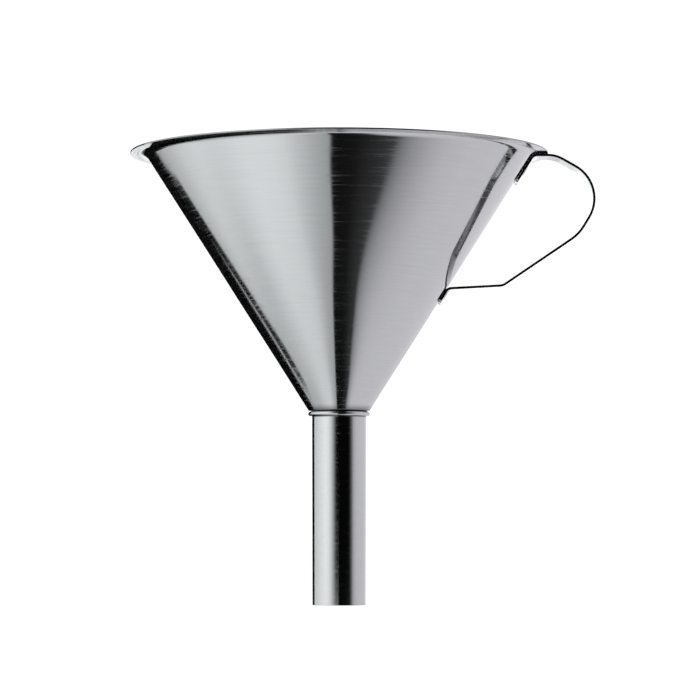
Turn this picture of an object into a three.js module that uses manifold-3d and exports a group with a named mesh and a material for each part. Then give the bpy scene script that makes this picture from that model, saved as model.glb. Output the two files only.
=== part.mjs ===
// Stainless-steel filling funnel with a strap handle.
//
// Millimetres, +Z up. The origin is on the funnel's axis, at the underside of the neck seam.
// The handle stands out along +X.
//
// Every piece is bent sheet metal, so each one starts as a bent line: the middle of the sheet,
// drawn in the half plane (x = distance from the axis, z = height). The bowl and the spout are
// that line turned about the axis, and the handle is the same kind of line swept sideways.

import * as THREE from "three";
import { mergeVertices } from "three/addons/utils/BufferGeometryUtils.js";
import Module from "manifold-3d";

const wasm = await Module();
wasm.setup();

// ---------------------------------------------------------------- driving dimensions

const SHEET = 0.4; // wall of the bowl and of the spout
const STRAP_THICKNESS = 0.7;
const STRAP_WIDTH = 9.5;
const CLEARANCE = 0.1; // between two pieces that lie on each other

const RIM_RADIUS = 60;
const RIM_TOP = 75.5; // top face of the rim flange
const RIM_BEND = 2.7;

const CONE_SLOPE = 0.637; // outer radius gained for each millimetre of height
const CONE_FOOT_RADIUS = 8.6; // middle of the sheet, where the cone turns in
const CONE_FOOT_BEND = 0.5;

const SPOUT_RADIUS_TOP = 7.55; // middle of the sheet
const SPOUT_RADIUS_END = 7.4;
const SPOUT_END = -53.9;
const SPOUT_BEND = 0.5;

const SEAM_RADIUS = 8.9; // outside of the seam bead
const SEAM_GAP = 0.05; // between the layers of the seam
const SEAM_GROOVE = 0.15; // open groove between the seam bead and the cone above it
const LIP_SETBACK = 0.2; // from the inside of the seam's fold back to the end of the bowl's lip

// corners of the loop's middle line, outward from the flange and back to the cone
const LOOP_SHOULDER = { x: 62, bend: 8 }; // just outside the flange, level with the upper tab
const LOOP_FRONT = { x: 77.3, z: 66.1, bend: 10.4 };
const LOOP_BACK = { x: 68.5, z: 51.9, bend: 12 };
const LOOP_HEEL = { x: 46.8, z: 37.2, bend: 3 };
const LOOP_FOOT_SLOPE = THREE.MathUtils.degToRad(3.1); // slope of the stretch from heel to cone
const UPPER_TAB_END = 67; // heights of the free ends of the two welded tabs
const LOWER_TAB_END = 32.4;
const TAB_BEND = 1.5;
const WRAP_FADE = 9; // distance from the cone at which the strap has turned flat across

const WELD_RADIUS = 1.5;
const WELD_SPACING = 4.6; // across the strap
const WELD_DIMPLE = 0.1; // depth of the weld face below the strap's face
const UPPER_WELD_HEIGHT = 70.6;
const LOWER_WELD_HEIGHT = 34.9;

const ROUND_SEGMENTS = 48;
const WIDTH_STEPS = 8; // across the strap
const STATION_STEP = 4; // longest stretch of strap without a station
const WELD_SEGMENTS = 20;
const BEND_STEP = THREE.MathUtils.degToRad(30); // largest turn between two points of a bend

// ---------------------------------------------------------------- worked-out sizes

const coneTilt = Math.atan(CONE_SLOPE);
const flangeMiddle = RIM_TOP - SHEET / 2;
const flangeUnderside = RIM_TOP - SHEET;

// heights of the middle of each layer of the neck seam, from the lowest
const seamLower = SHEET / 2;
const seamMiddle = seamLower + SHEET + SEAM_GAP;
const seamUpper = seamMiddle + SHEET + SEAM_GAP;
const coneFoot = seamUpper + SHEET + SEAM_GROOVE;

const seamFold = (seamUpper - seamLower) / 2; // radius of the spout's fold over the bowl's lip
const neckFold = (coneFoot - seamMiddle) / 2; // radius of the hairpin in the bowl's neck

// radius of the middle of the bowl's sheet at height z, and of its outside
const coneRadius = (z) => CONE_FOOT_RADIUS + CONE_SLOPE * (z - coneFoot);
const coneOutside = (z) => coneRadius(z) + SHEET / 2 / Math.cos(coneTilt);

// ---------------------------------------------------------------- bent lines

// The stations of a line with rounded corners: each has a point (x, z) and the sheet's normal,
// 90 degrees anticlockwise from the way the line runs. corners: [x, z, bend radius].
function bentLine(corners) {
  const points = corners.map(([x, z]) => new THREE.Vector2(x, z));
  const stations = [];
  const add = (point, along) =>
    stations.push({ point, normal: new THREE.Vector2(-along.y, along.x) });
  points.forEach((corner, i) => {
    const along = i > 0 ? corner.clone().sub(points[i - 1]).normalize() : null;
    const next = i < points.length - 1 ? points[i + 1].clone().sub(corner).normalize() : null;
    if (!along || !next) {
      add(corner, along ?? next);
      return;
    }
    const radius = corners[i][2];
    const turn = Math.atan2(along.cross(next), along.dot(next));
    const start = corner.clone().addScaledVector(along, -radius * Math.tan(Math.abs(turn) / 2));
    const side = new THREE.Vector2(-along.y, along.x).multiplyScalar(Math.sign(turn));
    const centre = start.clone().addScaledVector(side, radius);
    const steps = Math.max(2, Math.ceil(Math.abs(turn) / BEND_STEP));
    for (let k = 0; k <= steps; k += 1) {
      const angle = (turn * k) / steps;
      const point = start.clone().rotateAround(centre, angle);
      add(point, along.clone().rotateAround(new THREE.Vector2(), angle));
    }
  });
  return stations;
}

// The closed outline of a sheet that has a bent line as its middle.
function sheetOutline(stations, thickness) {
  const side = (sign) =>
    stations.map(({ point, normal }) =>
      point.clone().addScaledVector(normal, (sign * thickness) / 2));
  return [...side(-1), ...side(1).reverse()];
}

function turnedSheet(corners) {
  const outline = sheetOutline(bentLine(corners), SHEET);
  const geometry = new THREE.LatheGeometry([...outline, outline[0]], ROUND_SEGMENTS);
  return geometry.rotateX(Math.PI / 2); // LatheGeometry turns about Y
}

// ---------------------------------------------------------------- bowl and spout

// Rim flange, cone, and a hairpin at the neck that ends in a lip turned outward.
function bowlGeometry() {
  const lipEnd = SEAM_RADIUS - SHEET - LIP_SETBACK;
  return turnedSheet([
    [lipEnd, seamMiddle, 0],
    [SPOUT_RADIUS_TOP, seamMiddle, neckFold],
    [SPOUT_RADIUS_TOP, coneFoot, neckFold],
    [CONE_FOOT_RADIUS, coneFoot, CONE_FOOT_BEND],
    [coneRadius(flangeMiddle), flangeMiddle, RIM_BEND],
    [RIM_RADIUS, flangeMiddle, 0],
  ]);
}

// Tube whose top is flared outward and folded back in over the bowl's lip.
function spoutGeometry() {
  const foldOuter = SEAM_RADIUS - SHEET / 2;
  const foldEnd = SPOUT_RADIUS_TOP + neckFold + SEAM_GAP;
  return turnedSheet([
    [SPOUT_RADIUS_END, SPOUT_END, 0],
    [SPOUT_RADIUS_TOP, seamLower, SPOUT_BEND],
    [foldOuter, seamLower, seamFold],
    [foldOuter, seamUpper, seamFold],
    [foldEnd, seamUpper, 0],
  ]);
}

// ---------------------------------------------------------------- handle

const strapOffset = CLEARANCE + STRAP_THICKNESS / 2; // middle of the strap from the bowl's face
const tabRadius = (z) => coneOutside(z) + strapOffset / Math.cos(coneTilt);

// Corners of the strap's middle line, from the end of the upper tab to the end of the lower tab.
function strapCorners() {
  const underFlange = flangeUnderside - strapOffset;
  // the stretch in from the heel meets the line of the lower tab at this height
  const footSlope = Math.tan(LOOP_FOOT_SLOPE);
  const heelGap = LOOP_HEEL.x - tabRadius(LOOP_HEEL.z);
  const tabTop = LOOP_HEEL.z - (heelGap * footSlope) / (1 - CONE_SLOPE * footSlope);
  return [
    [tabRadius(UPPER_TAB_END), UPPER_TAB_END, 0],
    [tabRadius(underFlange), underFlange, RIM_BEND - SHEET / 2 - strapOffset],
    [LOOP_SHOULDER.x, underFlange, LOOP_SHOULDER.bend],
    [LOOP_FRONT.x, LOOP_FRONT.z, LOOP_FRONT.bend],
    [LOOP_BACK.x, LOOP_BACK.z, LOOP_BACK.bend],
    [LOOP_HEEL.x, LOOP_HEEL.z, LOOP_HEEL.bend],
    [tabRadius(tabTop), tabTop, TAB_BEND],
    [tabRadius(LOWER_TAB_END), LOWER_TAB_END, 0],
  ];
}

// The strap's stations, with more of them along its straight stretches.
function strapStations() {
  const stations = bentLine(strapCorners());
  return stations.flatMap((station, i) => {
    const next = stations[i + 1] ?? station;
    const parts = Math.ceil(station.point.distanceTo(next.point) / STATION_STEP) || 1;
    return Array.from({ length: parts }, (_, k) => ({
      point: station.point.clone().lerp(next.point, k / parts),
      normal: station.normal.clone().lerp(next.normal, k / parts).normalize(),
    }));
  });
}

// How far a point of the strap's middle line is drawn in at distance y across, to lie on the
// cone: in full on the tabs, and less and less along the loop.
function wrapDepth(point, y) {
  const radius = tabRadius(point.y);
  const share = 1 - THREE.MathUtils.smoothstep(point.x - radius, 0, WRAP_FADE);
  return share * (radius - Math.sqrt(radius * radius - y * y));
}

// A closed strap: two faces of stations by width steps, joined round their border.
function strapGeometry() {
  const stations = strapStations();
  const across = WIDTH_STEPS + 1;
  const vertices = [];
  for (const sign of [1, -1]) {
    for (const { point, normal } of stations) {
      for (let j = 0; j < across; j += 1) {
        const y = STRAP_WIDTH * (j / WIDTH_STEPS - 0.5);
        const half = (sign * STRAP_THICKNESS) / 2;
        const x = point.x + half * normal.x - wrapDepth(point, y);
        vertices.push(x, y, point.y + half * normal.y);
      }
    }
  }
  const rows = stations.length;
  const at = (face, i, j) => (face * rows + i) * across + j;
  const triangles = [];
  const quad = (a, b, c, d) => triangles.push(a, c, b, a, d, c);
  for (let i = 0; i < rows - 1; i += 1) {
    for (let j = 0; j < WIDTH_STEPS; j += 1) {
      quad(at(0, i, j), at(0, i, j + 1), at(0, i + 1, j + 1), at(0, i + 1, j));
      quad(at(1, i, j), at(1, i + 1, j), at(1, i + 1, j + 1), at(1, i, j + 1));
    }
    quad(at(0, i, 0), at(0, i + 1, 0), at(1, i + 1, 0), at(1, i, 0));
    quad(at(0, i, WIDTH_STEPS), at(1, i, WIDTH_STEPS),
      at(1, i + 1, WIDTH_STEPS), at(0, i + 1, WIDTH_STEPS));
  }
  for (let j = 0; j < WIDTH_STEPS; j += 1) {
    quad(at(0, 0, j), at(1, 0, j), at(1, 0, j + 1), at(0, 0, j + 1));
    quad(at(0, rows - 1, j), at(0, rows - 1, j + 1),
      at(1, rows - 1, j + 1), at(1, rows - 1, j));
  }
  const geometry = new THREE.BufferGeometry();
  geometry.setAttribute("position", new THREE.Float32BufferAttribute(vertices, 3));
  geometry.setIndex(triangles);
  return geometry;
}

// ---------------------------------------------------------------- spot welds

// A disc along +Y, turned into place by weldPlace.
function discGeometry(radius, length) {
  return new THREE.CylinderGeometry(radius, radius, length, WELD_SEGMENTS);
}

// Puts an object's +Y along the cone's normal, with its centre at a distance out from the
// bowl's face, at height z and at distance y from the middle of the strap.
function weldPlace(object, z, y, out) {
  const angle = Math.asin(y / coneOutside(z));
  const radial = new THREE.Vector3(Math.cos(angle), Math.sin(angle), 0);
  const normal = radial.clone().multiplyScalar(Math.cos(coneTilt));
  normal.z = -Math.sin(coneTilt);
  object.quaternion.setFromUnitVectors(new THREE.Vector3(0, 1, 0), normal);
  object.position.copy(radial.multiplyScalar(coneOutside(z)));
  object.position.z = z;
  object.position.addScaledVector(normal, out);
  return object;
}

const weldSpots = [];
for (const [tab, z] of [["upper", UPPER_WELD_HEIGHT], ["lower", LOWER_WELD_HEIGHT]]) {
  for (const [side, sign] of [["front", -1], ["rear", 1]]) {
    weldSpots.push({ name: `${tab}_weld_${side}`, z, y: (sign * WELD_SPACING) / 2 });
  }
}

// ---------------------------------------------------------------- booleans

function toSolid(geometry) {
  const bare = geometry.clone();
  bare.deleteAttribute("normal");
  bare.deleteAttribute("uv");
  const merged = mergeVertices(bare);
  return new wasm.Manifold(new wasm.Mesh({
    numProp: 3,
    vertProperties: new Float32Array(merged.attributes.position.array),
    triVerts: new Uint32Array(merged.index.array),
  }));
}

function fromSolid(solid) {
  const mesh = solid.getMesh();
  const geometry = new THREE.BufferGeometry();
  geometry.setAttribute("position", new THREE.BufferAttribute(mesh.vertProperties, 3));
  geometry.setIndex(new THREE.BufferAttribute(mesh.triVerts, 1));
  return geometry;
}

// The strap with a round seat for each spot weld.
function handleGeometry() {
  const drillLength = 4 * STRAP_THICKNESS;
  let solid = toSolid(strapGeometry());
  for (const { z, y } of weldSpots) {
    const drill = new THREE.Mesh(discGeometry(WELD_RADIUS + CLEARANCE, drillLength));
    weldPlace(drill, z, y, strapOffset).updateMatrix();
    solid = solid.subtract(toSolid(drill.geometry.applyMatrix4(drill.matrix)));
  }
  return fromSolid(solid);
}

// ---------------------------------------------------------------- assembly

const steel = (color, roughness) =>
  new THREE.MeshStandardMaterial({ color, roughness, metalness: 1 });

function named(name, geometry, material) {
  const mesh = new THREE.Mesh(geometry, material);
  mesh.name = name;
  return mesh;
}

const funnel = new THREE.Group();
funnel.add(named("bowl", bowlGeometry(), steel(0xb9bbbd, 0.28)));
funnel.add(named("spout", spoutGeometry(), steel(0xc2c4c6, 0.2)));

const handleGroup = new THREE.Group();
handleGroup.add(named("handle", handleGeometry(), steel(0xa9abad, 0.3)));
for (const { name, z, y } of weldSpots) {
  const length = STRAP_THICKNESS - WELD_DIMPLE;
  const weld = named(name, discGeometry(WELD_RADIUS, length), steel(0x8f8c88, 0.4));
  handleGroup.add(weldPlace(weld, z, y, CLEARANCE + length / 2));
}
funnel.add(handleGroup);

export default funnel;
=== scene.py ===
"""Stainless-steel filling funnel with a strap handle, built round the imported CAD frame.

Metres, +Z up. The origin is on the funnel's axis, at the underside of the neck seam, and the
handle stands out along +X. Bowl, spout and handle are bent sheet metal: each starts as the
middle line of its sheet, with corners rounded to the bend radius.
"""

import math

import bpy
import numpy as np
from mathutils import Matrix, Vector


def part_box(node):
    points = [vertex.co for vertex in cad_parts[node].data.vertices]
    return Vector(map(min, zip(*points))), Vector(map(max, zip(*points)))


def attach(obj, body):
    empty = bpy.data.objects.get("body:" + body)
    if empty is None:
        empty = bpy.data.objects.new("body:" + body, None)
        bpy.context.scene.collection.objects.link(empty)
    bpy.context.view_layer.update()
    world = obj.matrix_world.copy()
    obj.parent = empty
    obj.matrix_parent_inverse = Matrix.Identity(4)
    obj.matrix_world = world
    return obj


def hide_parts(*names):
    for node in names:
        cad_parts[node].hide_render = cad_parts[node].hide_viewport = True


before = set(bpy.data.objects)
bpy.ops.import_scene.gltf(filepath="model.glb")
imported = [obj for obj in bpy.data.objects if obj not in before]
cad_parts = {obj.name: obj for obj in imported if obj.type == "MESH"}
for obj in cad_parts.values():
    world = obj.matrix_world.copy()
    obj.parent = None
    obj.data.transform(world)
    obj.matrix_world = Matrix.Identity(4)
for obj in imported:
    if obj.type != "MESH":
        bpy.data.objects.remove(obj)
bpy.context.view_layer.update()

MM = 0.001

# ---------------------------------------------------------------- sizes

bowl_low, bowl_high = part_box("bowl")
spout_low, spout_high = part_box("spout")
handle_low, handle_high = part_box("handle")

# the CAD's own dimensions that its boxes don't give
SHEET = 0.4 * MM
SEAM_GAP = 0.05 * MM
SEAM_GROOVE = 0.15 * MM
LIP_SETBACK = 0.2 * MM
SPOUT_RADIUS_TOP = 7.55 * MM  # middle of the sheet
SPOUT_RADIUS_END = 7.4 * MM
SPOUT_BEND = 0.5 * MM
SPOUT_TUCK = 0.002 * MM  # keeps the tube's slightly tapering end inside the CAD box
CONE_SLOPE = 0.637  # radius gained for each unit of height
CONE_FOOT_RADIUS = 8.6 * MM
CONE_FOOT_BEND = 0.5 * MM
RIM_BEND = 2.7 * MM

STRAP_THICKNESS = 0.7 * MM
STRAP_CLEARANCE = 0.1 * MM
STRAP_FOLD = 1.5 * MM  # bend radius above the lower tab
STRAP_FADE = 9 * MM  # distance from the cone at which the strap has turned flat across
TAB_CORNER = 0.9 * MM
UPPER_TAB_END = 67 * MM
LOWER_TAB_END = 32.4 * MM
# corners of the loop's middle line (x, z, bend radius), outward from the flange and back; the
# shoulder is level with the upper tab, so it has no z
LOOP_SHOULDER = (62 * MM, 8 * MM)
LOOP_FRONT = (77.15 * MM, 66.1 * MM, 10.6 * MM)  # a hair inside the CAD's flat-sided arc
LOOP_BACK = (68.5 * MM, 51.9 * MM, 12 * MM)
LOOP_HEEL = (46.8 * MM, 37.2 * MM, 3 * MM)
LOOP_FOOT_SLOPE = math.tan(math.radians(3.1))

WELD_NODES = ("upper_weld_front", "upper_weld_rear", "lower_weld_front", "lower_weld_rear")
WELD_RADIUS = 1.5 * MM
WELD_DEPTH = 0.1 * MM  # depth of the electrode's print in the strap
BOWL_PRINT = 0.07 * MM  # depth of the print inside the bowl

EDGE_ROUND = 0.06 * MM  # rounding of a sheared and deburred edge
STRAP_ROUND = 0.03 * MM  # the same on the strap

# worked out from the frame and from those dimensions
rim_radius = bowl_high.x
rim_top = bowl_high.z
seam_radius = spout_high.x
strap_width = handle_high.y - handle_low.y
cone_tilt = math.atan(CONE_SLOPE)
flange_middle = rim_top - SHEET / 2
seam_lower = SHEET / 2
seam_middle = seam_lower + SHEET + SEAM_GAP
seam_upper = seam_middle + SHEET + SEAM_GAP
cone_foot = seam_upper + SHEET + SEAM_GROOVE
neck_fold = (cone_foot - seam_middle) / 2
seam_fold = (seam_upper - seam_lower) / 2
strap_offset = STRAP_CLEARANCE + STRAP_THICKNESS / 2


def cone_radius(z):
    """Radius of the middle of the bowl's sheet at height z."""
    return CONE_FOOT_RADIUS + CONE_SLOPE * (z - cone_foot)


def tab_radius(z):
    """Radius of the middle of a handle tab that lies on the cone at height z."""
    return cone_radius(z) + (SHEET / 2 + strap_offset) / math.cos(cone_tilt)


def smoothstep(low, high, x):
    """0 up to low, 1 from high on, and a soft rise between them."""
    t = np.clip((x - low) / (high - low), 0, 1)
    return t * t * (3 - 2 * t)


# ---------------------------------------------------------------- bent lines

ARC_STEP = math.radians(7)  # largest turn between two stations of a bend
MIN_ARC_STEPS = 3
EDGE_STEPS = 4  # of the quarter circle that rounds an edge
GUARD = 0.1 * MM  # length of the short step where a straight meets a bend or an end
MERGE = GUARD / 10  # two bends closer than this share a station


def turned_by(v, angle):
    """A vector in the (x, z) half plane, turned anticlockwise."""
    c, s = math.cos(angle), math.sin(angle)
    return Vector((c * v.x - s * v.y, s * v.x + c * v.y))


def left_of(along):
    """Unit vector to the left of a unit vector in the (x, z) half plane."""
    return Vector((-along.y, along.x))


def bend_at(before, corner, after, radius):
    """Stations (point, along) of the arc that rounds a corner."""
    along = (corner - before).normalized()
    onward = (after - corner).normalized()
    turn = math.atan2(along.x * onward.y - along.y * onward.x, along.dot(onward))
    start = corner - along * radius * math.tan(abs(turn) / 2)
    side = left_of(along) * math.copysign(radius, turn)
    steps = max(MIN_ARC_STEPS, math.ceil(abs(turn) / ARC_STEP))
    angles = [turn * k / steps for k in range(steps + 1)]
    return [(start + side - turned_by(side, angle), turned_by(along, angle)) for angle in angles]


def bent_line(corners, step):
    """Stations (point, along) of a line through corners (x, z, bend radius). Straight stretches
    have a station every step, and a short one at each end, so that shading stays in the bend."""
    points = [Vector(c[:2]) for c in corners]
    bends = [[(points[0], (points[1] - points[0]).normalized())]]
    for before, corner, after, (_, _, radius) in zip(points, points[1:], points[2:], corners[1:]):
        bends.append(bend_at(before, corner, after, radius))
    bends.append([(points[-1], (points[-1] - points[-2]).normalized())])
    stations = list(bends[0])
    for last, bend in zip(bends, bends[1:]):
        (a, along), (b, _) = last[-1], bend[0]
        length = (b - a).length
        if length > 3 * GUARD:
            parts = max(1, math.ceil((length - 2 * GUARD) / step))
            inner = [GUARD + (length - 2 * GUARD) * k / parts for k in range(parts + 1)]
            stations += [(a + along * s, along) for s in inner]
        stations += bend if length > MERGE else bend[1:]
    return stations


def end_cap(point, out, thickness):
    """Points round the end of a sheet, from its left side to its right as seen looking out."""
    left = left_of(out)
    core = thickness / 2 - EDGE_ROUND
    centre = point - out * EDGE_ROUND
    angles = [math.pi / 2 * k / EDGE_STEPS for k in range(EDGE_STEPS + 1)]
    offsets = [(core + EDGE_ROUND * math.cos(a), EDGE_ROUND * math.sin(a)) for a in angles]
    first = [centre + left * across + out * rise for across, rise in offsets]
    second = [centre - left * across + out * rise for across, rise in reversed(offsets)]
    return first + second


def sheet_outline(stations, thickness):
    """Closed outline of a sheet round its middle line, with rounded ends. Returns the points and
    the name of the side each one is on: left, right or edge."""
    (first, first_along), (last, last_along) = stations[0], stations[-1]
    inner = stations[1:-1]
    left = [p + left_of(along) * (thickness / 2) for p, along in inner]
    right = [p - left_of(along) * (thickness / 2) for p, along in reversed(inner)]
    points, sides = [], []
    for stretch, side in ((left, "left"), (end_cap(last, last_along, thickness), "edge"),
                          (right, "right"), (end_cap(first, -first_along, thickness), "edge")):
        points += stretch
        sides += [side] * len(stretch)
    return points, sides


# ---------------------------------------------------------------- meshes


def make_piece(name, points, faces, uvs, materials, face_material, node):
    """A smooth-shaded mesh object that stands for a CAD node and rides on its body."""
    mesh = bpy.data.meshes.new(name)
    mesh.from_pydata([tuple(p) for p in points], [], faces)
    layer = mesh.uv_layers.new(name="OFBake")
    layer.data.foreach_set("uv", np.array(uvs, dtype=np.float32).ravel())
    for material in materials:
        mesh.materials.append(material)
    mesh.polygons.foreach_set("material_index", face_material)
    mesh.polygons.foreach_set("use_smooth", [True] * len(faces))
    mesh.validate()
    mesh.update()
    piece = bpy.data.objects.new(name, mesh)
    bpy.context.scene.collection.objects.link(piece)
    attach(piece, "root")
    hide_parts(node)
    return piece


UV_MARGIN = 0.01
FACE_MATERIAL = 0
EDGE_MATERIAL = 1


def turned_piece(name, outline, sides, angles, shape, materials, node):
    """A closed outline turned about the axis. shape(points) then moves the points a little."""
    rows, columns = len(outline), len(angles)
    profile = np.array([tuple(p) for p in outline])
    points = np.zeros((rows, columns, 3))
    points[:, :, 0] = profile[:, :1] * np.cos(angles)
    points[:, :, 1] = profile[:, :1] * np.sin(angles)
    points[:, :, 2] = profile[:, 1:]
    points = shape(points)
    steps = np.linalg.norm(np.roll(profile, -1, axis=0) - profile, axis=1)
    down = np.concatenate([[0], np.cumsum(steps)]) / steps.sum()
    around = np.concatenate([angles - angles[0], [2 * math.pi]]) / (2 * math.pi)
    down = UV_MARGIN + down * (1 - 2 * UV_MARGIN)
    around = UV_MARGIN + around * (1 - 2 * UV_MARGIN)
    faces, uvs, face_material = [], [], []
    for i in range(rows):
        below = (i + 1) % rows
        edge = sides[i] == "edge" and sides[below] == "edge"
        for j in range(columns):
            onward = (j + 1) % columns
            faces.append((i * columns + j, i * columns + onward,
                          below * columns + onward, below * columns + j))
            uvs += [(around[j], down[i]), (around[j + 1], down[i]),
                    (around[j + 1], down[i + 1]), (around[j], down[i + 1])]
            face_material.append(EDGE_MATERIAL if edge else FACE_MATERIAL)
    make_piece(name, points.reshape(-1, 3), faces, uvs, materials, face_material, node)


def ring_angles(step, dense_at, dense_half, dense_step):
    """Angles of a full turn, in radians, with a finer stretch round dense_at. All the arguments
    are in degrees."""
    fine = np.arange(dense_at - dense_half, dense_at + dense_half, dense_step)
    left = 360 - 2 * dense_half
    count = round(left / step)
    coarse = dense_at + dense_half + left * np.arange(count) / count
    return np.radians(np.concatenate([fine, coarse]))


# ---------------------------------------------------------------- spot welds


def weld_axes():
    """(centre, outward normal of the cone) of each spot weld, from the CAD nodes' boxes."""
    axes = {}
    for node in WELD_NODES:
        low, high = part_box(node)
        centre = (low + high) / 2
        angle = math.atan2(centre.y, centre.x)
        normal = Vector((math.cos(angle) * math.cos(cone_tilt),
                         math.sin(angle) * math.cos(cone_tilt), -math.sin(cone_tilt)))
        axes[node] = (centre, normal)
    return axes


welds = weld_axes()

PRINT_REACH = 2 * MM  # a print moves only the points this near the weld's middle height
PRINT_SLOPE = (WELD_RADIUS - 0.25 * MM, WELD_RADIUS + 0.2 * MM)  # from its flat bottom to its top
PRINT_LIP_RADIUS = WELD_RADIUS + 0.45 * MM
PRINT_LIP_WIDTH = 0.25 * MM
PRINT_LIP_SHARE = 0.25  # of the print's depth


def weld_print(points, depth):
    """Moves points near a weld along its axis: a flat-bottomed round print with a low raised
    lip. depth is positive towards the outside of the cone."""
    flat = points.reshape(-1, 3)
    for centre, normal in welds.values():
        offset = flat - np.array(centre)
        n = np.array(normal)
        height = offset @ n
        distance = np.linalg.norm(offset - np.outer(height, n), axis=1)
        near = np.abs(height) < PRINT_REACH
        dish = 1 - smoothstep(*PRINT_SLOPE, distance)
        lip = PRINT_LIP_SHARE * np.exp(-((distance - PRINT_LIP_RADIUS) / PRINT_LIP_WIDTH) ** 2)
        flat[near] += np.outer(depth * (dish - lip)[near], n)
    return flat.reshape(points.shape)


# ---------------------------------------------------------------- materials


class Nodes:
    """A short way to write a node tree."""

    def __init__(self, material):
        material.use_nodes = True
        self.tree = material.node_tree
        self.tree.nodes.clear()

    def add(self, kind, inputs=(), **settings):
        """A new node. Each input is another node's output or a plain value."""
        node = self.tree.nodes.new(kind)
        for key, value in settings.items():
            setattr(node, key, value)
        for key, value in dict(inputs).items():
            if isinstance(value, bpy.types.NodeSocket):
                self.tree.links.new(value, node.inputs[key])
            else:
                node.inputs[key].default_value = value
        return node

    def math(self, operation, a, b=0.0):
        return self.add("ShaderNodeMath", {0: a, 1: b}, operation=operation).outputs[0]

    def mix(self, factor, a, b):
        """A colour mix. In Blender's Mix node the colours are inputs 6 and 7 and output 2."""
        node = self.add("ShaderNodeMix", data_type="RGBA")
        for key, value in ((0, factor), (6, a), (7, b)):
            if isinstance(value, bpy.types.NodeSocket):
                self.tree.links.new(value, node.inputs[key])
            else:
                node.inputs[key].default_value = value
        return node.outputs[2]

    def place(self):
        """The shaded point in the object's own coordinates, which are the frame's."""
        return self.add("ShaderNodeTexCoord").outputs["Object"]

    def noise(self, vector, scale=1.0, detail=2.0, roughness=0.5):
        return self.add("ShaderNodeTexNoise", {"Vector": vector, "Scale": scale,
                                               "Detail": detail, "Roughness": roughness}
                        ).outputs["Fac"]

    def spread(self, value, low, high, to_low=0.0, to_high=1.0):
        """A soft step from to_low at low to to_high at high."""
        return self.add("ShaderNodeMapRange", {"Value": value, "From Min": low,
                                               "From Max": high, "To Min": to_low,
                                               "To Max": to_high},
                        interpolation_type="SMOOTHSTEP").outputs[0]


RADIUS_SHARE = 0.5  # of the radius, in the distance down a turned wall


def grain_vector(n, along_scale, across_scale, strap):
    """Coordinates for brushed lines: slow along the grain and fast across it. On a turned piece
    the grain runs round the axis; on the strap it runs along the strap."""
    if strap:
        uv = n.add("ShaderNodeSeparateXYZ", {0: n.add("ShaderNodeUVMap", uv_map="strap").outputs[0]})
        return n.add("ShaderNodeCombineXYZ", {
            0: n.math("MULTIPLY", uv.outputs[0], along_scale),
            1: n.math("MULTIPLY", uv.outputs[1], across_scale)}).outputs[0]
    xyz = n.add("ShaderNodeSeparateXYZ", {0: n.place()})
    flat = n.add("ShaderNodeCombineXYZ", {0: xyz.outputs[0], 1: xyz.outputs[1]}).outputs[0]
    radius = n.add("ShaderNodeVectorMath", {0: flat}, operation="LENGTH").outputs["Value"]
    out = n.add("ShaderNodeVectorMath", {0: flat}, operation="NORMALIZE").outputs[0]
    out = n.add("ShaderNodeSeparateXYZ", {0: out})
    # the distance down the wall grows with height and, on the flat flange, with radius
    down = n.math("ADD", xyz.outputs[2], n.math("MULTIPLY", radius, RADIUS_SHARE))
    return n.add("ShaderNodeCombineXYZ", {
        0: n.math("MULTIPLY", out.outputs[0], along_scale),
        1: n.math("MULTIPLY", out.outputs[1], along_scale),
        2: n.math("MULTIPLY", down, across_scale)}).outputs[0]


def weld_distance(n):
    """Distance from the nearest spot weld."""
    place = n.place()
    nearest = None
    for centre, _ in welds.values():
        away = n.add("ShaderNodeVectorMath", {0: place, 1: tuple(centre)},
                     operation="DISTANCE").outputs["Value"]
        nearest = away if nearest is None else n.math("MINIMUM", nearest, away)
    return nearest


# noise cells along and across the grain. Along it they are counted for each radius of a turned
# piece and for each metre of the strap's length; across it they are for each metre.
ROUND_GRAIN = {"fine": (4.2, 3600), "coarse": (2.2, 1200), "scratch": (5.0, 2600)}
STRAP_GRAIN = {"fine": (60, 3600), "coarse": (25, 1200), "scratch": (110, 2600)}

STRAW = (0.55, 0.43, 0.27, 1)
STRAW_FADE = (2.0 * MM, 4.4 * MM)  # from the middle of a weld
STRAW_STRENGTH = 0.22
BURNT = (0.33, 0.34, 0.4, 1)
BURNT_FADE = (1.3 * MM, 2.2 * MM)
BURNT_STRENGTH = 0.3
BURNT_ROUGHNESS = 0.08

BEAD_GREY = (0.42, 0.41, 0.4, 1)
BEAD_FADE = (0.25 * MM, 0.8 * MM)  # from the middle of the seam
BEAD_PITCH = 0.45 * MM
BEAD_RIPPLE = 0.5
BEAD_STRENGTH = 0.35
BEAD_ROUGHNESS = 0.1

# colour of the painted shade in the corner beside the neck seam
CREVICE_SHADE_COLOR = (0.03, 0.03, 0.03, 1)


def heat_tint(n, shade, rough):
    """Straw colour round each spot weld and a bluish, duller middle."""
    away = weld_distance(n)
    straw = n.spread(away, *STRAW_FADE, 1.0, 0.0)
    core = n.spread(away, *BURNT_FADE, 1.0, 0.0)
    shade = n.mix(n.math("MULTIPLY", straw, STRAW_STRENGTH), shade, STRAW)
    shade = n.mix(n.math("MULTIPLY", core, BURNT_STRENGTH), shade, BURNT)
    return shade, n.math("ADD", rough, n.math("MULTIPLY", core, BURNT_ROUGHNESS))


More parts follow.
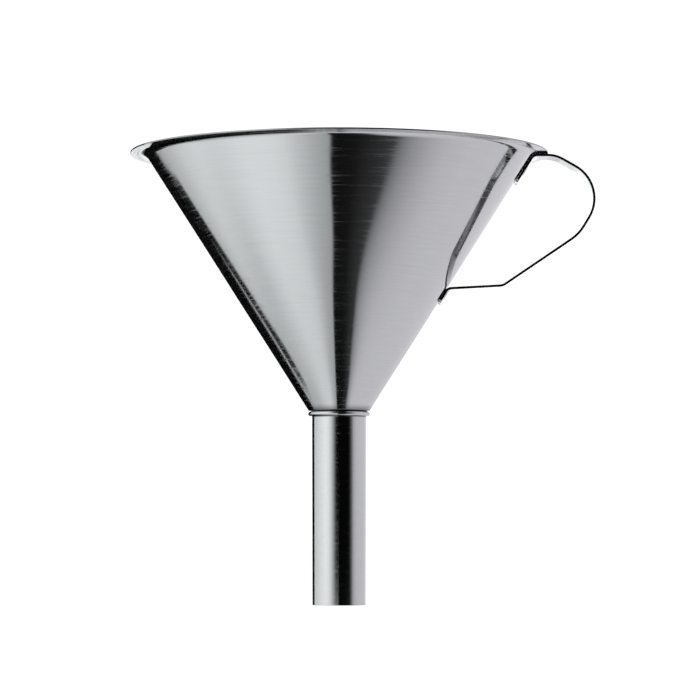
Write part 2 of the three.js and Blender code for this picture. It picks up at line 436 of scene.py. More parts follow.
def seam_bead(n, shade, rough, height):
    """The weld seam down the back of the spout: a grey line with fine ripples."""
    xyz = n.add("ShaderNodeSeparateXYZ", {0: n.place()})
    behind = n.math("GREATER_THAN", xyz.outputs[1], 0.0)
    bead = n.spread(n.math("ABSOLUTE", xyz.outputs[0]), *BEAD_FADE, 1.0, 0.0)
    bead = n.math("MULTIPLY", bead, behind)
    ripple = n.math("SINE", n.math("MULTIPLY", xyz.outputs[2], 2 * math.pi / BEAD_PITCH))
    ripple = n.math("MULTIPLY", n.math("MULTIPLY", ripple, bead), BEAD_RIPPLE)
    shade = n.mix(n.math("MULTIPLY", bead, BEAD_STRENGTH), shade, BEAD_GREY)
    rough = n.math("ADD", rough, n.math("MULTIPLY", bead, BEAD_ROUGHNESS))
    return shade, rough, n.math("ADD", height, ripple)


def painted_crevice_shade(n, shade, crevice):
    """Painted shade in the corner beside the neck seam: the colour darkens towards the corner.
    crevice has the height where it starts, the corner's height, the height where it has gone again,
    and its strength."""
    start, corner, end, strength = crevice
    rise = n.add("ShaderNodeSeparateXYZ", {0: n.place()}).outputs[2]
    shade_amount = n.math("MULTIPLY", n.spread(rise, start, corner), n.spread(rise, end, corner))
    return n.mix(n.math("MULTIPLY", shade_amount, strength), shade, CREVICE_SHADE_COLOR)


FINE_SHARE = 0.6  # of the fine lines in the grain; the coarse lines are the rest
STREAK_BAND = (0.5, 0.66)  # grain values over which the streaks turn rougher
SHADE_BAND = (0.3, 0.7)  # grain values over which the colour turns lighter
SHADE_SPREAD = 0.03
SCRATCH_BAND = (0.69, 0.76)  # noise values over which a scratch starts to show
SCRATCH_ROUGHNESS = 0.08
SCRATCH_DEPTH = 0.5
CLOUD_SCALE = 45.0
CLOUD_ROUGHNESS = 0.04
BUMP_DISTANCE = 0.05 * MM
QUARTER_TURN = 0.25


def steel(name, color, roughness, strap=False, streaks=0.14, brushing=0.5, bump=0.06,
          tint=True, seam=False, crevice=None):
    """Brushed stainless steel: fine and coarse grain lines in the bump, roughness and colour,
    soft clouding from polishing and faint hairline scratches. streaks is how much rougher the
    streaks are, brushing how far the gloss is drawn out across the grain."""
    material = bpy.data.materials.new(name)
    n = Nodes(material)
    grain_scales = STRAP_GRAIN if strap else ROUND_GRAIN
    fine = n.noise(grain_vector(n, *grain_scales["fine"], strap), detail=3.0, roughness=0.6)
    coarse = n.noise(grain_vector(n, *grain_scales["coarse"], strap))
    scratch = n.noise(grain_vector(n, *grain_scales["scratch"], strap), detail=1.0)
    scratch = n.spread(scratch, *SCRATCH_BAND)
    cloud = n.math("SUBTRACT", n.noise(n.place(), CLOUD_SCALE, detail=3.0), 0.5)
    grain = n.math("ADD", n.math("MULTIPLY", fine, FINE_SHARE),
                   n.math("MULTIPLY", coarse, 1 - FINE_SHARE))

    rough = n.math("ADD", roughness, n.spread(grain, *STREAK_BAND, 0.0, streaks))
    rough = n.math("ADD", rough, n.math("MULTIPLY", cloud, CLOUD_ROUGHNESS))
    rough = n.math("ADD", rough, n.math("MULTIPLY", scratch, SCRATCH_ROUGHNESS))
    dark = tuple(c * (1 - SHADE_SPREAD) for c in color) + (1,)
    light = tuple(c * (1 + SHADE_SPREAD) for c in color) + (1,)
    shade = n.mix(n.spread(grain, *SHADE_BAND), dark, light)
    height = n.math("SUBTRACT", grain, n.math("MULTIPLY", scratch, SCRATCH_DEPTH))
    if tint:
        shade, rough = heat_tint(n, shade, rough)
    if seam:
        shade, rough, height = seam_bead(n, shade, rough, height)
    # painted shade in the corner beside the neck seam
    if crevice:
        shade = painted_crevice_shade(n, shade, crevice)

    bumped = n.add("ShaderNodeBump", {"Height": height, "Strength": bump,
                                      "Distance": BUMP_DISTANCE})
    if strap:
        tangent = n.add("ShaderNodeTangent", direction_type="UV_MAP", uv_map="strap")
    else:
        tangent = n.add("ShaderNodeTangent", direction_type="RADIAL", axis="Z")
    shader = n.add("ShaderNodeBsdfPrincipled", {
        "Base Color": shade, "Metallic": 1.0, "Roughness": rough,
        "Anisotropic": brushing, "Anisotropic Rotation": QUARTER_TURN,
        "Normal": bumped.outputs[0], "Tangent": tangent.outputs[0]})
    n.add("ShaderNodeOutputMaterial", {"Surface": shader.outputs[0]})
    return material


BOWL_COLOR = (0.60, 0.605, 0.615)
SPOUT_COLOR = (0.60, 0.605, 0.61)
HANDLE_COLOR = (0.60, 0.60, 0.605)
WELD_COLOR = (0.46, 0.45, 0.44)
CUT_COLOR = (0.40, 0.40, 0.405)
# start, corner, end and strength of the painted shade above and below the seam's bead
CONE_CREVICE = (cone_foot + 1.7 * MM, cone_foot - 0.1 * MM, cone_foot - MM, 0.6)
SPOUT_CREVICE = (-0.5 * MM, -0.05 * MM, 0.12 * MM, 0.9)

bowl_steel = steel("bowl_steel", BOWL_COLOR, roughness=0.085, brushing=0.6, crevice=CONE_CREVICE)
spout_steel = steel("spout_steel", SPOUT_COLOR, roughness=0.08, streaks=0.1, bump=0.04,
                    tint=False, seam=True, crevice=SPOUT_CREVICE)
handle_steel = steel("handle_steel", HANDLE_COLOR, roughness=0.08, strap=True, streaks=0.1)
weld_steel = steel("weld_steel", WELD_COLOR, roughness=0.34, brushing=0.0, bump=0.12)
cut_edge = steel("cut_edge", CUT_COLOR, roughness=0.14, streaks=0.1, tint=False)
strap_edge = steel("strap_edge", CUT_COLOR, roughness=0.14, strap=True, streaks=0.1, tint=False)

# ---------------------------------------------------------------- bowl

# waves that spinning leaves: depth, number round the bowl, phase, and rise for each radian by
# which a wave drifts round
SPIN_WAVES = ((0.045 * MM, 3, 0.7, 23 * MM), (0.022 * MM, 8, -1.3, -9 * MM),
              (0.010 * MM, 17, 0, 6 * MM))
WAVES_START = (6 * MM, 20 * MM)  # heights over which they grow above the neck
WAVES_END = (66 * MM, 73 * MM)  # heights over which they fade below the rim


def bowl_form(points):
    """The bowl's small departures from a true cone, as spinning leaves them: a few soft waves
    round it that die out at the neck and at the rim. Then the welds' prints inside."""
    x, y, z = points[..., 0], points[..., 1], points[..., 2]
    angle, radius = np.arctan2(y, x), np.hypot(x, y)
    waves = sum(depth * np.sin(count * angle + phase + z / rise)
                for depth, count, phase, rise in SPIN_WAVES)
    free = smoothstep(*WAVES_START, z) * (1 - smoothstep(*WAVES_END, z))
    swell = 1 + waves * free / radius
    points[..., 0] *= swell
    points[..., 1] *= swell
    inside = radius < cone_radius(z)
    printed = weld_print(points.copy(), BOWL_PRINT)
    return np.where(inside[..., None], printed, points)


BOWL_STEP = 1.6 * MM  # longest straight stretch without a station
PRINT_ROW_STEP = 0.35 * MM
PRINT_ROW_REACH = 2.5 * MM  # the rows are fine this far above and below a weld's middle


def with_fine_rows(stations):
    """Extra stations where the welds' prints are."""
    heights = [centre.z for centre, _ in welds.values()]
    out = [stations[0]]
    for (a, along), (b, onward) in zip(stations, stations[1:]):
        low, high = min(a.y, b.y) - PRINT_ROW_REACH, max(a.y, b.y) + PRINT_ROW_REACH
        if any(low < height < high for height in heights):
            parts = math.ceil((b - a).length / PRINT_ROW_STEP)
            out += [(a.lerp(b, k / parts), along) for k in range(1, parts)]
        out.append((b, onward))
    return out


def build_bowl():
    """Rim flange, cone, and a hairpin at the neck that ends in a lip turned outward."""
    lip_end = seam_radius - SHEET - LIP_SETBACK
    corners = [
        (lip_end, seam_middle, 0),
        (SPOUT_RADIUS_TOP, seam_middle, neck_fold),
        (SPOUT_RADIUS_TOP, cone_foot, neck_fold),
        (CONE_FOOT_RADIUS, cone_foot, CONE_FOOT_BEND),
        (cone_radius(flange_middle), flange_middle, RIM_BEND),
        (rim_radius, flange_middle, 0),
    ]
    outline, sides = sheet_outline(with_fine_rows(bent_line(corners, BOWL_STEP)), SHEET)
    angles = ring_angles(step=2.0, dense_at=0, dense_half=13, dense_step=0.4)
    turned_piece("bowl_shell", outline, sides, angles, bowl_form, [bowl_steel, cut_edge],
                 "bowl")


build_bowl()

# ---------------------------------------------------------------- spout

SPOUT_STEP = 2.5 * MM
SPOUT_BEAD_RISE = 0.03 * MM
SPOUT_BEAD_WIDTH = 0.45 * MM
SPOUT_OVAL = 0.02 * MM
SPOUT_OVAL_PHASE = 0.5
SPOUT_FADE = (-3 * MM, -0.6 * MM)  # heights over which bead and oval fade out below the seam


def spout_form(points):
    """A low weld bead along the back of the tube, on both of its faces, and a tube that is a
    hair out of round."""
    x, y, z = points[..., 0], points[..., 1], points[..., 2]
    radius = np.hypot(x, y)
    below = 1 - smoothstep(*SPOUT_FADE, z)
    bead = SPOUT_BEAD_RISE * np.exp(-((x / SPOUT_BEAD_WIDTH) ** 2)) * (y > 0) * below
    middle = np.interp(z, [spout_low.z, 0], [SPOUT_RADIUS_END, SPOUT_RADIUS_TOP])
    face = np.where(radius > middle, 1.0, -1.0)
    oval = SPOUT_OVAL * np.cos(2 * np.arctan2(y, x) + SPOUT_OVAL_PHASE) * below
    swell = 1 + (bead * face + oval) / radius
    points[..., 0] *= swell
    points[..., 1] *= swell
    return points


def build_spout():
    """Tube whose top is flared outward and folded back in over the bowl's lip."""
    fold_outer = seam_radius - SHEET / 2
    fold_end = SPOUT_RADIUS_TOP + neck_fold + SEAM_GAP
    corners = [
        (SPOUT_RADIUS_END, spout_low.z + SPOUT_TUCK, 0),
        (SPOUT_RADIUS_TOP, seam_lower, SPOUT_BEND),
        (fold_outer, seam_lower, seam_fold),
        (fold_outer, seam_upper, seam_fold),
        (fold_end, seam_upper, 0),
    ]
    outline, sides = sheet_outline(bent_line(corners, SPOUT_STEP), SHEET)
    angles = ring_angles(step=3.0, dense_at=90, dense_half=12, dense_step=1.0)
    turned_piece("spout_tube", outline, sides, angles, spout_form, [spout_steel, cut_edge],
                 "spout")


build_spout()

# ---------------------------------------------------------------- handle


def strap_corners():
    """Corners of the strap's middle line, from the end of the upper tab to that of the lower."""
    under_flange = rim_top - SHEET - strap_offset
    # the stretch in from the heel meets the line of the lower tab at tab_top
    heel_gap = LOOP_HEEL[0] - tab_radius(LOOP_HEEL[1])
    tab_top = LOOP_HEEL[1] - heel_gap * LOOP_FOOT_SLOPE / (1 - CONE_SLOPE * LOOP_FOOT_SLOPE)
    return [
        (tab_radius(UPPER_TAB_END), UPPER_TAB_END, 0),
        (tab_radius(under_flange), under_flange, RIM_BEND - SHEET / 2 - strap_offset),
        (LOOP_SHOULDER[0], under_flange, LOOP_SHOULDER[1]),
        LOOP_FRONT,
        LOOP_BACK,
        LOOP_HEEL,
        (tab_radius(tab_top), tab_top, STRAP_FOLD),
        (tab_radius(LOWER_TAB_END), LOWER_TAB_END, 0),
    ]


STRAP_STEP = 1.5 * MM
CORNER_STEPS = 12
BURR_STATION = 0.3 * STRAP_ROUND  # from each end, a station on the rounding of its edge
RUN_DIGITS = 8  # distances along the strap that agree to this many digits are one station


def strap_stations():
    """Stations (point, along, half width, half thickness, distance along) of the strap. Both ends
    are cut square with small round corners, and all edges are deburred."""
    line = with_fine_rows(bent_line(strap_corners(), STRAP_STEP))
    points = np.array([tuple(p) for p, _ in line])
    run = np.concatenate([[0], np.cumsum(np.linalg.norm(np.diff(points, axis=0), axis=1))])
    total = run[-1]
    corner_steps = np.linspace(0, TAB_CORNER, CORNER_STEPS + 1)[1:]
    near_ends = np.concatenate([corner_steps, [BURR_STATION]])
    at = np.unique(np.round(np.concatenate([run, near_ends, total - near_ends]), RUN_DIGITS))
    stations = []
    for s in at:
        i = min(max(np.searchsorted(run, s, "right") - 1, 0), len(line) - 2)
        t = (s - run[i]) / (run[i + 1] - run[i]) if run[i + 1] > run[i] else 0
        point = line[i][0].lerp(line[i + 1][0], t)
        along = line[i][1].lerp(line[i + 1][1], t).normalized()
        inset = max(0, min(s, total - s))
        corner = max(0, TAB_CORNER - inset)
        half_width = strap_width / 2 - TAB_CORNER + math.sqrt(TAB_CORNER**2 - corner**2)
        burr = max(0, STRAP_ROUND - inset)
        half_thick = STRAP_THICKNESS / 2 - STRAP_ROUND + math.sqrt(STRAP_ROUND**2 - burr**2)
        stations.append((point, along, half_width, half_thick, s))
    return stations


STRAP_COLUMNS = 40


def strap_ring(half_width, half_thick):
    """Points (across, out) once round the strap's section, and the side each one is on: over the
    left face, round one edge, back over the right face and round the other edge."""
    flat = half_width - STRAP_ROUND
    core = half_thick - STRAP_ROUND
    face = np.linspace(-flat, flat, STRAP_COLUMNS + 1)
    quarters = [(core, math.pi / 2 * k / EDGE_STEPS) for k in range(1, EDGE_STEPS + 1)]
    quarters += [(-core, math.pi / 2 * (1 + k / EDGE_STEPS)) for k in range(EDGE_STEPS)]
    ring, sides = [], []
    for sign, side in ((1, "left"), (-1, "right")):
        ring += [(sign * y, sign * half_thick) for y in face]
        ring += [(sign * (flat + STRAP_ROUND * math.sin(angle)),
                  sign * (centre + STRAP_ROUND * math.cos(angle))) for centre, angle in quarters]
        sides += [side] * len(face) + ["edge"] * len(quarters)
    return ring, sides


def strap_place(point, along, y, out):
    """A point of the strap: across it by y and out from its middle by out, wrapped round the
    cone near the tabs."""
    radius = tab_radius(point.y)
    share = 1 - smoothstep(0, STRAP_FADE, point.x - radius)
    wrap = share * (radius - math.sqrt(radius * radius - y * y))
    return (point.x - along.y * out - wrap, y, point.y + along.x * out)


STRAP_UV_WIDTH = 0.96  # the rest of the texture's width is for the two cut ends
CAP_UV = ((0.975, 0.5), (0.985, 0.5))  # middles of the two ends
CAP_UV_SCALE = (4, 20)  # for each metre out and across


def strap_points(stations):
    """Points of the strap, one row for each station, with the welds' prints on the faces that
    are turned away from the cone."""
    points = [[strap_place(point, along, y, out) for y, out in strap_ring(half_width, half_thick)[0]]
              for point, along, half_width, half_thick, _ in stations]
    points = np.array(points)
    x, y, z = points[..., 0], points[..., 1], points[..., 2]
    outer = np.hypot(x, y) > tab_radius(z)
    printed = weld_print(points.copy(), -WELD_DEPTH)
    return np.where(outer[..., None], printed, points)


def build_handle():
    """The strap's faces row by row, then its two cut ends. The second UV layer is in metres, and
    the brushed lines follow it."""
    stations = strap_stations()
    section, sides = strap_ring(strap_width / 2, STRAP_THICKNESS / 2)
    section = np.array(section)
    run = [station[-1] for station in stations]
    rows, columns = len(stations), len(section)
    steps = np.linalg.norm(np.roll(section, -1, axis=0) - section, axis=1)
    around = np.concatenate([[0], np.cumsum(steps)]) / steps.sum()
    around = UV_MARGIN + (STRAP_UV_WIDTH - UV_MARGIN) * around
    down = UV_MARGIN + (1 - 2 * UV_MARGIN) * np.array(run) / run[-1]
    faces, uvs, strap_uvs, face_material = [], [], [], []
    for i in range(rows - 1):
        for j in range(columns):
            onward = (j + 1) % columns
            faces.append((i * columns + j, (i + 1) * columns + j,
                          (i + 1) * columns + onward, i * columns + onward))
            uvs += [(around[j], down[i]), (around[j], down[i + 1]),
                    (around[j + 1], down[i + 1]), (around[j + 1], down[i])]
            for a, b in ((i, j), (i + 1, j), (i + 1, onward), (i, onward)):
                strap_uvs.append((run[a], section[b][0]))
            edge = "edge" in (sides[j], sides[onward])
            face_material.append(EDGE_MATERIAL if edge else FACE_MATERIAL)
    # each end is closed by quads that join a point of the left half to its twin on the right
    twins = columns - 1 - 2 * EDGE_STEPS
    for row, (u, v) in ((0, CAP_UV[0]), (rows - 1, CAP_UV[1])):
        for j in range(-EDGE_STEPS, STRAP_COLUMNS + EDGE_STEPS):
            corners = [k % columns for k in (j, j + 1, twins - j - 1, twins - j)]
            if row > 0:
                corners.reverse()
            faces.append(tuple(row * columns + k for k in corners))
            uvs += [(u + section[k][1] * CAP_UV_SCALE[0], v + section[k][0] * CAP_UV_SCALE[1])
                    for k in corners]
            strap_uvs += [(run[row], section[k][0]) for k in corners]
            face_material.append(EDGE_MATERIAL)
    points = strap_points(stations).reshape(-1, 3)
    piece = make_piece("handle_strap", points, faces, uvs, [handle_steel, strap_edge],
                       face_material, "handle")
    layer = piece.data.uv_layers.new(name="strap")
    layer.data.foreach_set("uv", np.array(strap_uvs, dtype=np.float32).ravel())


build_handle()

# ---------------------------------------------------------------- weld nuggets

NUGGET_SEGMENTS = 40
NUGGET_RINGS = 14
NUGGET_BACK_RINGS = 4
NUGGET_RADIUS = WELD_RADIUS - 0.12 * MM  # a little short of the edge of its seat
NUGGET_FACE = (STRAP_THICKNESS - WELD_DEPTH) / 2 - 0.03 * MM  # a little below the print
NUGGET_DEPTH = 0.25 * MM
NUGGET_DOME = 0.05 * MM
NUGGET_GROOVE = 0.03 * MM  # depth of the shallow ring that the electrode leaves
NUGGET_GROOVE_RADIUS = 0.72 * NUGGET_RADIUS
NUGGET_GROOVE_WIDTH = 0.16 * MM
NUGGET_FALL = 0.08 * MM  # how far the face falls off at its rim
NUGGET_FALL_WIDTH = 0.3 * MM
NUGGET_UV_RADIUS = 0.2
NUGGET_UV = ((0.25, 0.5), (0.75, 0.5))  # middles of the face and of the back


def nugget_rows():
    """(radius, height) of each ring from the middle of the face to the middle of the back: a
    slightly domed face with a shallow ring near its rim."""
    rows = []
    for k in range(NUGGET_RINGS + 1):
        r = NUGGET_RADIUS * math.sin(math.pi / 2 * k / NUGGET_RINGS)
        dome = NUGGET_DOME * (1 - (r / NUGGET_RADIUS) ** 2)
        away = (r - NUGGET_GROOVE_RADIUS) / NUGGET_GROOVE_WIDTH
        groove = NUGGET_GROOVE * math.exp(-(away**2))
        fall = NUGGET_FALL * smoothstep(NUGGET_RADIUS - NUGGET_FALL_WIDTH, NUGGET_RADIUS, r)
        rows.append((r, NUGGET_FACE + dome - groove - fall))
    for k in reversed(range(NUGGET_BACK_RINGS + 1)):
        rows.append((NUGGET_RADIUS * k / NUGGET_BACK_RINGS, NUGGET_FACE - NUGGET_DEPTH))
    return rows


def build_weld(node):
    """A closed disc turned about the weld's axis, with a fan of triangles at each middle."""
    centre, normal = welds[node]
    side = normal.cross(Vector((0, 0, 1))).normalized()
    up = side.cross(normal)
    rows = nugget_rows()
    points, flat = [], []
    for i, (r, height) in enumerate(rows[1:-1]):
        u, v = NUGGET_UV[0 if i < NUGGET_RINGS else 1]
        size = NUGGET_UV_RADIUS * r / NUGGET_RADIUS
        for k in range(NUGGET_SEGMENTS):
            a = 2 * math.pi * k / NUGGET_SEGMENTS
            points.append(centre + normal * height + (side * math.cos(a) + up * math.sin(a)) * r)
            flat.append((u + size * math.cos(a), v + size * math.sin(a)))
    front, back = len(points), len(points) + 1
    points += [centre + normal * rows[0][1], centre + normal * rows[-1][1]]
    flat += NUGGET_UV
    last = (len(rows) - 3) * NUGGET_SEGMENTS  # first point of the ring next to the back's middle
    faces = []
    for k in range(NUGGET_SEGMENTS):
        onward = (k + 1) % NUGGET_SEGMENTS
        faces.append((front, k, onward))
        faces.append((back, last + onward, last + k))
        for a in range(0, last, NUGGET_SEGMENTS):
            b = a + NUGGET_SEGMENTS
            faces.append((a + k, b + k, b + onward, a + onward))
    uvs = [flat[index] for face in faces for index in face]
    make_piece(node + "_nugget", points, faces, uvs, [weld_steel], [0] * len(faces),
               node)


for weld_node in WELD_NODES:
    build_weld(weld_node)

# ---------------------------------------------------------------- studio

# Stage sizes are in metres, and directions in degrees.
FLOOR_DROP = 0.06  # the funnel hangs a little above the floor, as in a cut-out photograph
FLOOR_REACH = 12.0
FLOOR_COLOR = (0.93, 0.93, 0.93, 1)
FLOOR_ROUGHNESS = 0.9
MOTTLE = (0.985, 1.0)
MOTTLE_BAND = (0.3, 0.7)
MOTTLE_SCALE = 6.0
BLACK = (0, 0, 0, 1)

scene = bpy.context.scene
floor_level = spout_low.z - FLOOR_DROP


def link(obj):
    scene.collection.objects.link(obj)
    return obj


def floor_material():
    """Matte pale paper with a faint mottle."""
    material = bpy.data.materials.new("floor_paper")
    n = Nodes(material)
    mottle = n.spread(n.noise(n.place(), MOTTLE_SCALE, detail=4.0), *MOTTLE_BAND, *MOTTLE)
    shade = n.mix(mottle, BLACK, FLOOR_COLOR)
    shader = n.add("ShaderNodeBsdfPrincipled", {"Base Color": shade, "Roughness": FLOOR_ROUGHNESS})
    n.add("ShaderNodeOutputMaterial", {"Surface": shader.outputs[0]})
    return material


def build_floor():
    corners = ((-1, -1), (1, -1), (1, 1), (-1, 1))
    points = [(x * FLOOR_REACH, y * FLOOR_REACH, floor_level) for x, y in corners]
    mesh = bpy.data.meshes.new("floor")
    mesh.from_pydata(points, [], [(0, 1, 2, 3)])
    mesh.materials.append(floor_material())
    floor = link(bpy.data.objects.new("floor", mesh))
    floor.visible_glossy = False


# Brightness of the light tent against azimuth, which is 0 towards the camera and grows to the
# camera's right, at eye level and above it; and of the table under the funnel, against azimuth
# about the near end of the dark gap through which the camera looks in.
TENT_LEVEL = ((-180, 1.5), (-176, 1.3), (-171, 1.1), (-170, 0.8), (-125, 0.85), (-108, 0.97),
              (-62, 1.28), (-50, 1.22), (-42, 1.08), (-34, 0.84), (-25, 0.46), (-16, 0.08),
              (-10, 0.002), (38, 0.002), (46, 0.02), (55, 0.2), (64, 0.56), (74, 0.7),
              (90, 0.77), (130, 0.8), (166, 0.88), (172, 1.65), (180, 1.65))
TENT_ABOVE = ((-180, 0.13), (-165, 0.13), (-150, 0.45), (-130, 0.62), (-110, 1.0), (-45, 1.15),
              (-30, 0.3), (-15, 0.02), (28, 0.02), (42, 0.4), (60, 0.72), (105, 0.78),
              (125, 0.4), (145, 0.15), (180, 0.13))
TABLE_GLOW = ((-180, 0.8), (-175, 1.0), (-160, 0.6), (-140, 0.62), (-130, 0.76), (-120, 0.93),
              (-108, 1.04), (-95, 1.1), (-55, 1.1), (-43, 1.03), (-33, 0.88), (-21, 0.73),
              (-2.2, 0.5), (-0.8, 0.005), (20, 0.012), (43, 0.05), (46.5, 0.25), (53, 0.42),
              (63, 0.58), (75, 0.72), (90, 0.78), (150, 0.82), (158, 0.66), (172, 0.66), (180, 0.8))
TENT_RADIUS = 2.4
TENT_STEP = 10
TENT_COOL = (0.97, 1.0, 1.0, 1)
TENT_LILAC = (1.0, 0.993, 1.04, 1)
TENT_TINT_ARC = (20, 75)  # azimuths over which cool turns to lilac
TENT_CHANGE = (12, 30)  # elevations over which the tent at eye level turns to the tent above it
TENT_TOP = (60, 85)  # elevations over which it turns to the glow of its top
TENT_TOP_GLOW = (0.6, 0.6, 0.6, 1)

CARD_GAP = 1 * MM  # from the floor up to the table's reflection, and from there to the cloth
TABLE_RADIUS = 1.7
TABLE_STEP = 5
GAP_END = (-13.5 * MM, -36 * MM)  # near end of the dark gap
# the dark gap's right side bows in and out again: distances from its near end, and turns there
GAP_RIGHT_ARC = (5, 30)
NEAR_BOW = ((0.045, 0.095), (25, -3))
FAR_BOW = ((0.09, 0.2), (0, 12))
# the table is dimmer close to the funnel, a painted shadow of the funnel: azimuths, distances and
# dimming
LEFT_ARC = (-20, 0)
LEFT_DIM = ((0.06, 0.18), 0.14)
BEHIND_ARC = (-112, -72)
BEHIND_DIM = ((0.16, 0.34), 0.3)

# The black cloth's outlines on the table. Its two lengths meet at the seam, with a gap there.
CLOTH_FRONT = ((-0.15, 0.035), (-0.2, 0.09), (-0.306, 0.248), (-0.437, 0.443), (-0.95, 1.8))
CLOTH_SEAM = ((-0.19, 0.115), (-0.234, 0.183), (-0.285, 0.273), (-0.374, 0.445), (-1.2, 1.9))
CLOTH_GAPS = (0.009, 0.009, 0.009, 0, 0)  # how far the seam opens at each of its points
CLOTH_TIP = (-0.12, 0.045)  # where the far length starts, beyond the seam
CLOTH_BACK = ((-0.05, 0.02), (-0.02, 0.06), (-0.01, 0.15), (0, 0.3), (0, 0.6), (-0.34, 2.2))
CLOTH_GLOW = (0.002, 0.002, 0.002, 1)

FLAG_RADIUS = 2.2
FLAG_AZIMUTHS = (-171, -162, -153, -144, -132)
FLAG_ELEVATIONS = (-14, 22)


def azimuth_ramp(n, azimuth, stops):
    """Brightness from stops of (degrees, brightness)."""
    turn = n.math("ADD", n.math("DIVIDE", azimuth, 2 * math.pi), 0.5)
    node = n.add("ShaderNodeValToRGB", {"Fac": turn})
    elements = node.color_ramp.elements
    while len(elements) < len(stops):
        elements.new(0.5)
    for element, (degrees, _) in zip(elements, stops):
        element.position = degrees / 360 + 0.5
    for element, (_, glow) in zip(elements, stops):
        element.color = (glow, glow, glow, 1)
    return node.outputs["Color"]


def over_arc(n, azimuth, arc, low=0.0, high=1.0):
    """A soft step from low to high over an arc of azimuths in degrees."""
    return n.spread(azimuth, math.radians(arc[0]), math.radians(arc[1]), low, high)


def glow_output(n, glow, azimuth):
    """Ends a material as light that is cool on the camera's left and faintly lilac on its right."""
    tint = n.mix(over_arc(n, azimuth, TENT_TINT_ARC), TENT_COOL, TENT_LILAC)
    tinted = n.add("ShaderNodeVectorMath", {0: glow, 1: tint}, operation="MULTIPLY").outputs[0]
    light = n.add("ShaderNodeEmission", {"Color": tinted, "Strength": 1.0})
    n.add("ShaderNodeOutputMaterial", {"Surface": light.outputs[0]})


def azimuth_about(n, xyz, centre):
    """Azimuth of the shaded point as seen from centre (x, y): 0 towards the camera."""
    across = n.math("SUBTRACT", xyz.outputs[0], centre[0])
    toward = n.math("SUBTRACT", centre[1], xyz.outputs[1])
    return n.math("ARCTAN2", across, toward)


def over_elevations(n, height, elevations):
    """A soft step between two elevations, from the height as a share of the tent's radius."""
    low, high = (math.sin(math.radians(elevation)) for elevation in elevations)
    return n.spread(height, low, high)


def tent_material():
    """Soft light that changes round the tent and with height in it."""
    material = bpy.data.materials.new("tent_glow")
    n = Nodes(material)
    xyz = n.add("ShaderNodeSeparateXYZ", {0: n.place()})
    azimuth = azimuth_about(n, xyz, (0, 0))
    height = n.math("DIVIDE", xyz.outputs[2], TENT_RADIUS)
    glow = n.mix(over_elevations(n, height, TENT_CHANGE), azimuth_ramp(n, azimuth, TENT_LEVEL),
                 azimuth_ramp(n, azimuth, TENT_ABOVE))
    glow = n.mix(over_elevations(n, height, TENT_TOP), glow, TENT_TOP_GLOW)
    glow_output(n, glow, azimuth)
    return material


def table_material():
    """Light from the table, with the dark gap through which the camera looks in, and a painted
    shadow of the funnel where the table is near it.
    """
    material = bpy.data.materials.new("table_glow")
    n = Nodes(material)
    xyz = n.add("ShaderNodeSeparateXYZ", {0: n.place()})
    azimuth = azimuth_about(n, xyz, GAP_END)
    centre = (*GAP_END, floor_level + CARD_GAP)
    away = n.add("ShaderNodeVectorMath", {0: n.place(), 1: centre},
                 operation="DISTANCE").outputs["Value"]
    bows = [n.spread(away, *distances, math.radians(turn), math.radians(last_turn))
            for distances, (turn, last_turn) in (NEAR_BOW, FAR_BOW)]
    bow = n.math("MULTIPLY", n.math("ADD", *bows), over_arc(n, azimuth, GAP_RIGHT_ARC))
    glow = azimuth_ramp(n, n.math("SUBTRACT", azimuth, bow), TABLE_GLOW)
    # painted shadow of the funnel on the table's reflection, on its left and behind it
    for arc, (distances, dimming) in ((LEFT_ARC, LEFT_DIM), (BEHIND_ARC, BEHIND_DIM)):
        side = over_arc(n, azimuth, arc, 1.0, 0.0)
        near = n.spread(away, *distances, dimming, 0.0)
        glow = n.mix(n.math("MULTIPLY", near, side), glow, BLACK)
    glow_output(n, glow, azimuth)
    return material


def black_material():
    """Black cloth, for the cloth on the table and for the flag."""
    material = bpy.data.materials.new("black_felt")
    n = Nodes(material)
    light = n.add("ShaderNodeEmission", {"Color": CLOTH_GLOW, "Strength": 1.0})
    n.add("ShaderNodeOutputMaterial", {"Surface": light.outputs[0]})
    return material


def on_dome(azimuth, elevation, radius):
    """The point in a direction from the origin, in degrees: azimuth 0 is towards the camera."""
    a, e = math.radians(azimuth), math.radians(elevation)
    return (radius * math.cos(e) * math.sin(a), -radius * math.cos(e) * math.cos(a),
            radius * math.sin(e))


def reflection_only(name, points, faces, material):
    """A staged mesh that shows only in reflections."""
    mesh = bpy.data.meshes.new(name)
    mesh.from_pydata(points, [], faces)
    mesh.materials.append(material)
    card = link(bpy.data.objects.new(name, mesh))
    card.visible_camera = False
    card.visible_diffuse = False
    card.visible_transmission = False
    card.visible_volume_scatter = False
    card.visible_shadow = False


def build_tent():
    azimuths = range(-180, 180, TENT_STEP)
    elevations = range(-90, 91, TENT_STEP)
    points = [on_dome(a, e, TENT_RADIUS) for e in elevations for a in azimuths]
    row = len(azimuths)
    faces = []
    for low in range(0, row * (len(elevations) - 1), row):
        for k in range(row):
            onward = (k + 1) % row
            faces.append((low + k, low + onward, low + row + onward, low + row + k))
    reflection_only("light_tent", points, faces, tent_material())


def build_table():
    """The table's reflection, with a black cloth laid at the back left in two lengths, so that
    a thin line of the table shows between them."""
    z = floor_level + CARD_GAP
    ring = [math.radians(a) for a in range(0, 360, TABLE_STEP)]
    points = [(TABLE_RADIUS * math.cos(a), TABLE_RADIUS * math.sin(a), z) for a in ring]
    reflection_only("table_reflection", points, [tuple(range(len(ring)))], table_material())
    z += CARD_GAP
    black = black_material()
    beyond = [CLOTH_TIP] + [(x + gap, y + gap / 2) for (x, y), gap in zip(CLOTH_SEAM, CLOTH_GAPS)]
    for name, one, other in (("black_cloth_near", CLOTH_FRONT, CLOTH_SEAM),
                             ("black_cloth_far", beyond, CLOTH_BACK)):
        points = [(x, y, z) for x, y in (*one, *other)]
        count = len(one)
        faces = [(i, i + 1, count + i + 1, count + i) for i in range(count - 1)]
        reflection_only(name, points, faces, black)


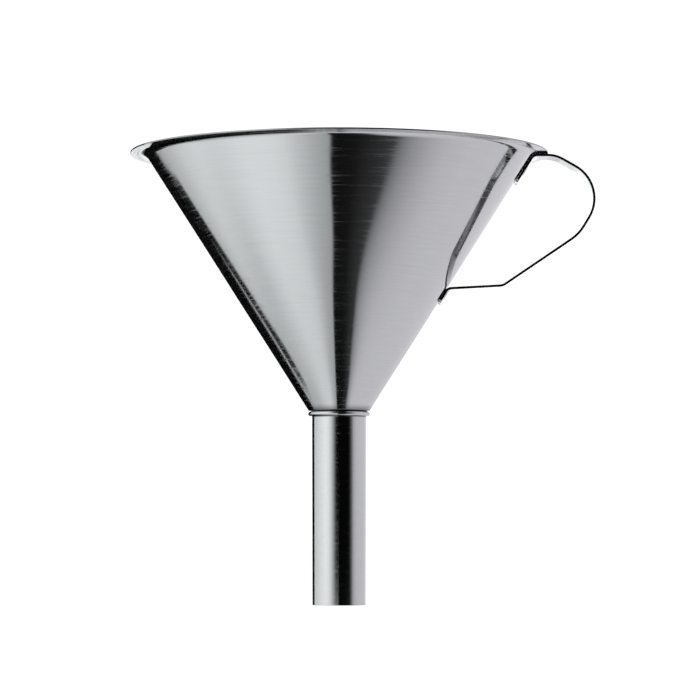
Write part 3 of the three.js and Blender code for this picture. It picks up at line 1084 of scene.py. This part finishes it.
def build_flag():
    """A black flag at eye level, at the back left."""
    points = [on_dome(a, e, FLAG_RADIUS) for a in FLAG_AZIMUTHS for e in FLAG_ELEVATIONS]
    faces = [(i, i + 2, i + 3, i + 1) for i in range(0, len(points) - 2, 2)]
    reflection_only("black_flag", points, faces, black_material())


# name, place, diameter and watts of each soft lamp, which all look at the origin
LAMPS = (("key_softbox", (-0.9, -0.9, 1.3), 0.9, 14),
         ("fill_softbox", (1.1, -0.5, 1.1), 0.9, 8),
         ("back_softbox", (0.1, 1.1, 1.2), 0.8, 8))
WORLD_STRENGTH = 1.1


def build_lights():
    for name, place, size, power in LAMPS:
        light = bpy.data.lights.new(name, "AREA")
        light.shape = "DISK"
        light.size = size
        light.energy = power
        lamp = link(bpy.data.objects.new(name, light))
        lamp.location = place
        lamp.visible_glossy = False
        lamp.rotation_euler = (-Vector(place)).to_track_quat("-Z", "Y").to_euler()


def build_world():
    """A plain white surround, which is also the picture's background."""
    world = bpy.data.worlds.new("studio")
    scene.world = world
    world.use_nodes = True
    background = world.node_tree.nodes["Background"]
    background.inputs["Color"].default_value = (1, 1, 1, 1)
    background.inputs["Strength"].default_value = WORLD_STRENGTH
    scene.view_settings.view_transform = "Standard"


CAMERA_DISTANCE = 0.9
CAMERA_HEIGHT = -33 * MM
FRAME_WIDTH = 200.7 * MM  # what the picture's width takes in at the funnel's axis
FRAME_CENTRE = Vector((3.1 * MM, 0, 19 * MM))
SENSOR_WIDTH = 36  # Blender's own unit for a sensor and a lens is the millimetre


def build_camera():
    """A camera level with the spout that looks slightly up, with the handle on its right."""
    camera = link(bpy.data.objects.new("camera", bpy.data.cameras.new("camera")))
    camera.location = (FRAME_CENTRE.x, -CAMERA_DISTANCE, CAMERA_HEIGHT)
    aim = FRAME_CENTRE - camera.location
    camera.rotation_euler = aim.to_track_quat("-Z", "Y").to_euler()
    camera.data.sensor_width = SENSOR_WIDTH
    camera.data.lens = SENSOR_WIDTH * aim.length / FRAME_WIDTH
    scene.camera = camera


build_floor()
build_tent()
build_table()
build_flag()
build_lights()
build_world()
build_camera()
